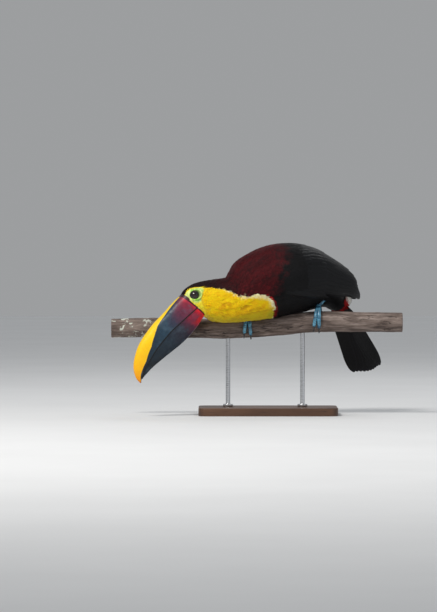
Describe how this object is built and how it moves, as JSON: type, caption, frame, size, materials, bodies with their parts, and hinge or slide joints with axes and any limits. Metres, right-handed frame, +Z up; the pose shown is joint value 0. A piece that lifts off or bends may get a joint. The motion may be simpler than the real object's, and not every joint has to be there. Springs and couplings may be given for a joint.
{
  "type": "perched toucan model",
  "caption": "Roughly life-size yellow-throated toucan leaning forward on a cut branch, bill pointing down, on a flat base with rods.",
  "frame": {"origin": "centre of the underside of the stand's base", "axes": "+Z up, +X along the branch from the bird's bill towards its tail, -Y out from the bird's left side"},
  "size_m": [0.524, 0.195, 0.3091],
  "materials": {
    "bill_yellow": "smooth horn with a satin sheen",
    "bill_dark": "smooth slate horn, crimson at its base",
    "eye": "wet, polished",
    "bib": "silky small feathers",
    "maroon": "soft overlapping feathers",
    "black": "close feathers with a faint sheen",
    "feet": "scaled skin, matt",
    "claw": "smooth horn",
    "bark": "smooth grey-brown bark",
    "base": "oiled",
    "steel": "brushed"
  },
  "bodies": {
    "root": {"bill_lower": "bill_dark", "bill_upper": "bill_yellow", "claw_left_1": "claw", "claw_left_2": "claw", "claw_left_3": "claw", "claw_left_4": "claw", "claw_right_1": "claw", "claw_right_2": "claw", "claw_right_3": "claw", "claw_right_4": "claw", "eye_left": "eye", "eye_right": "eye", "foot_left": "feet", "foot_right": "feet", "head": "bib", "neck": "maroon", "perch": "bark", "stand_base": "base", "stand_rod_back": "steel", "stand_rod_front": "steel", "tail": "black", "thigh_left": "black", "thigh_right": "black", "trunk": "black", "wing_left": "black", "wing_right": "black"}
  },
  "joints": []
}
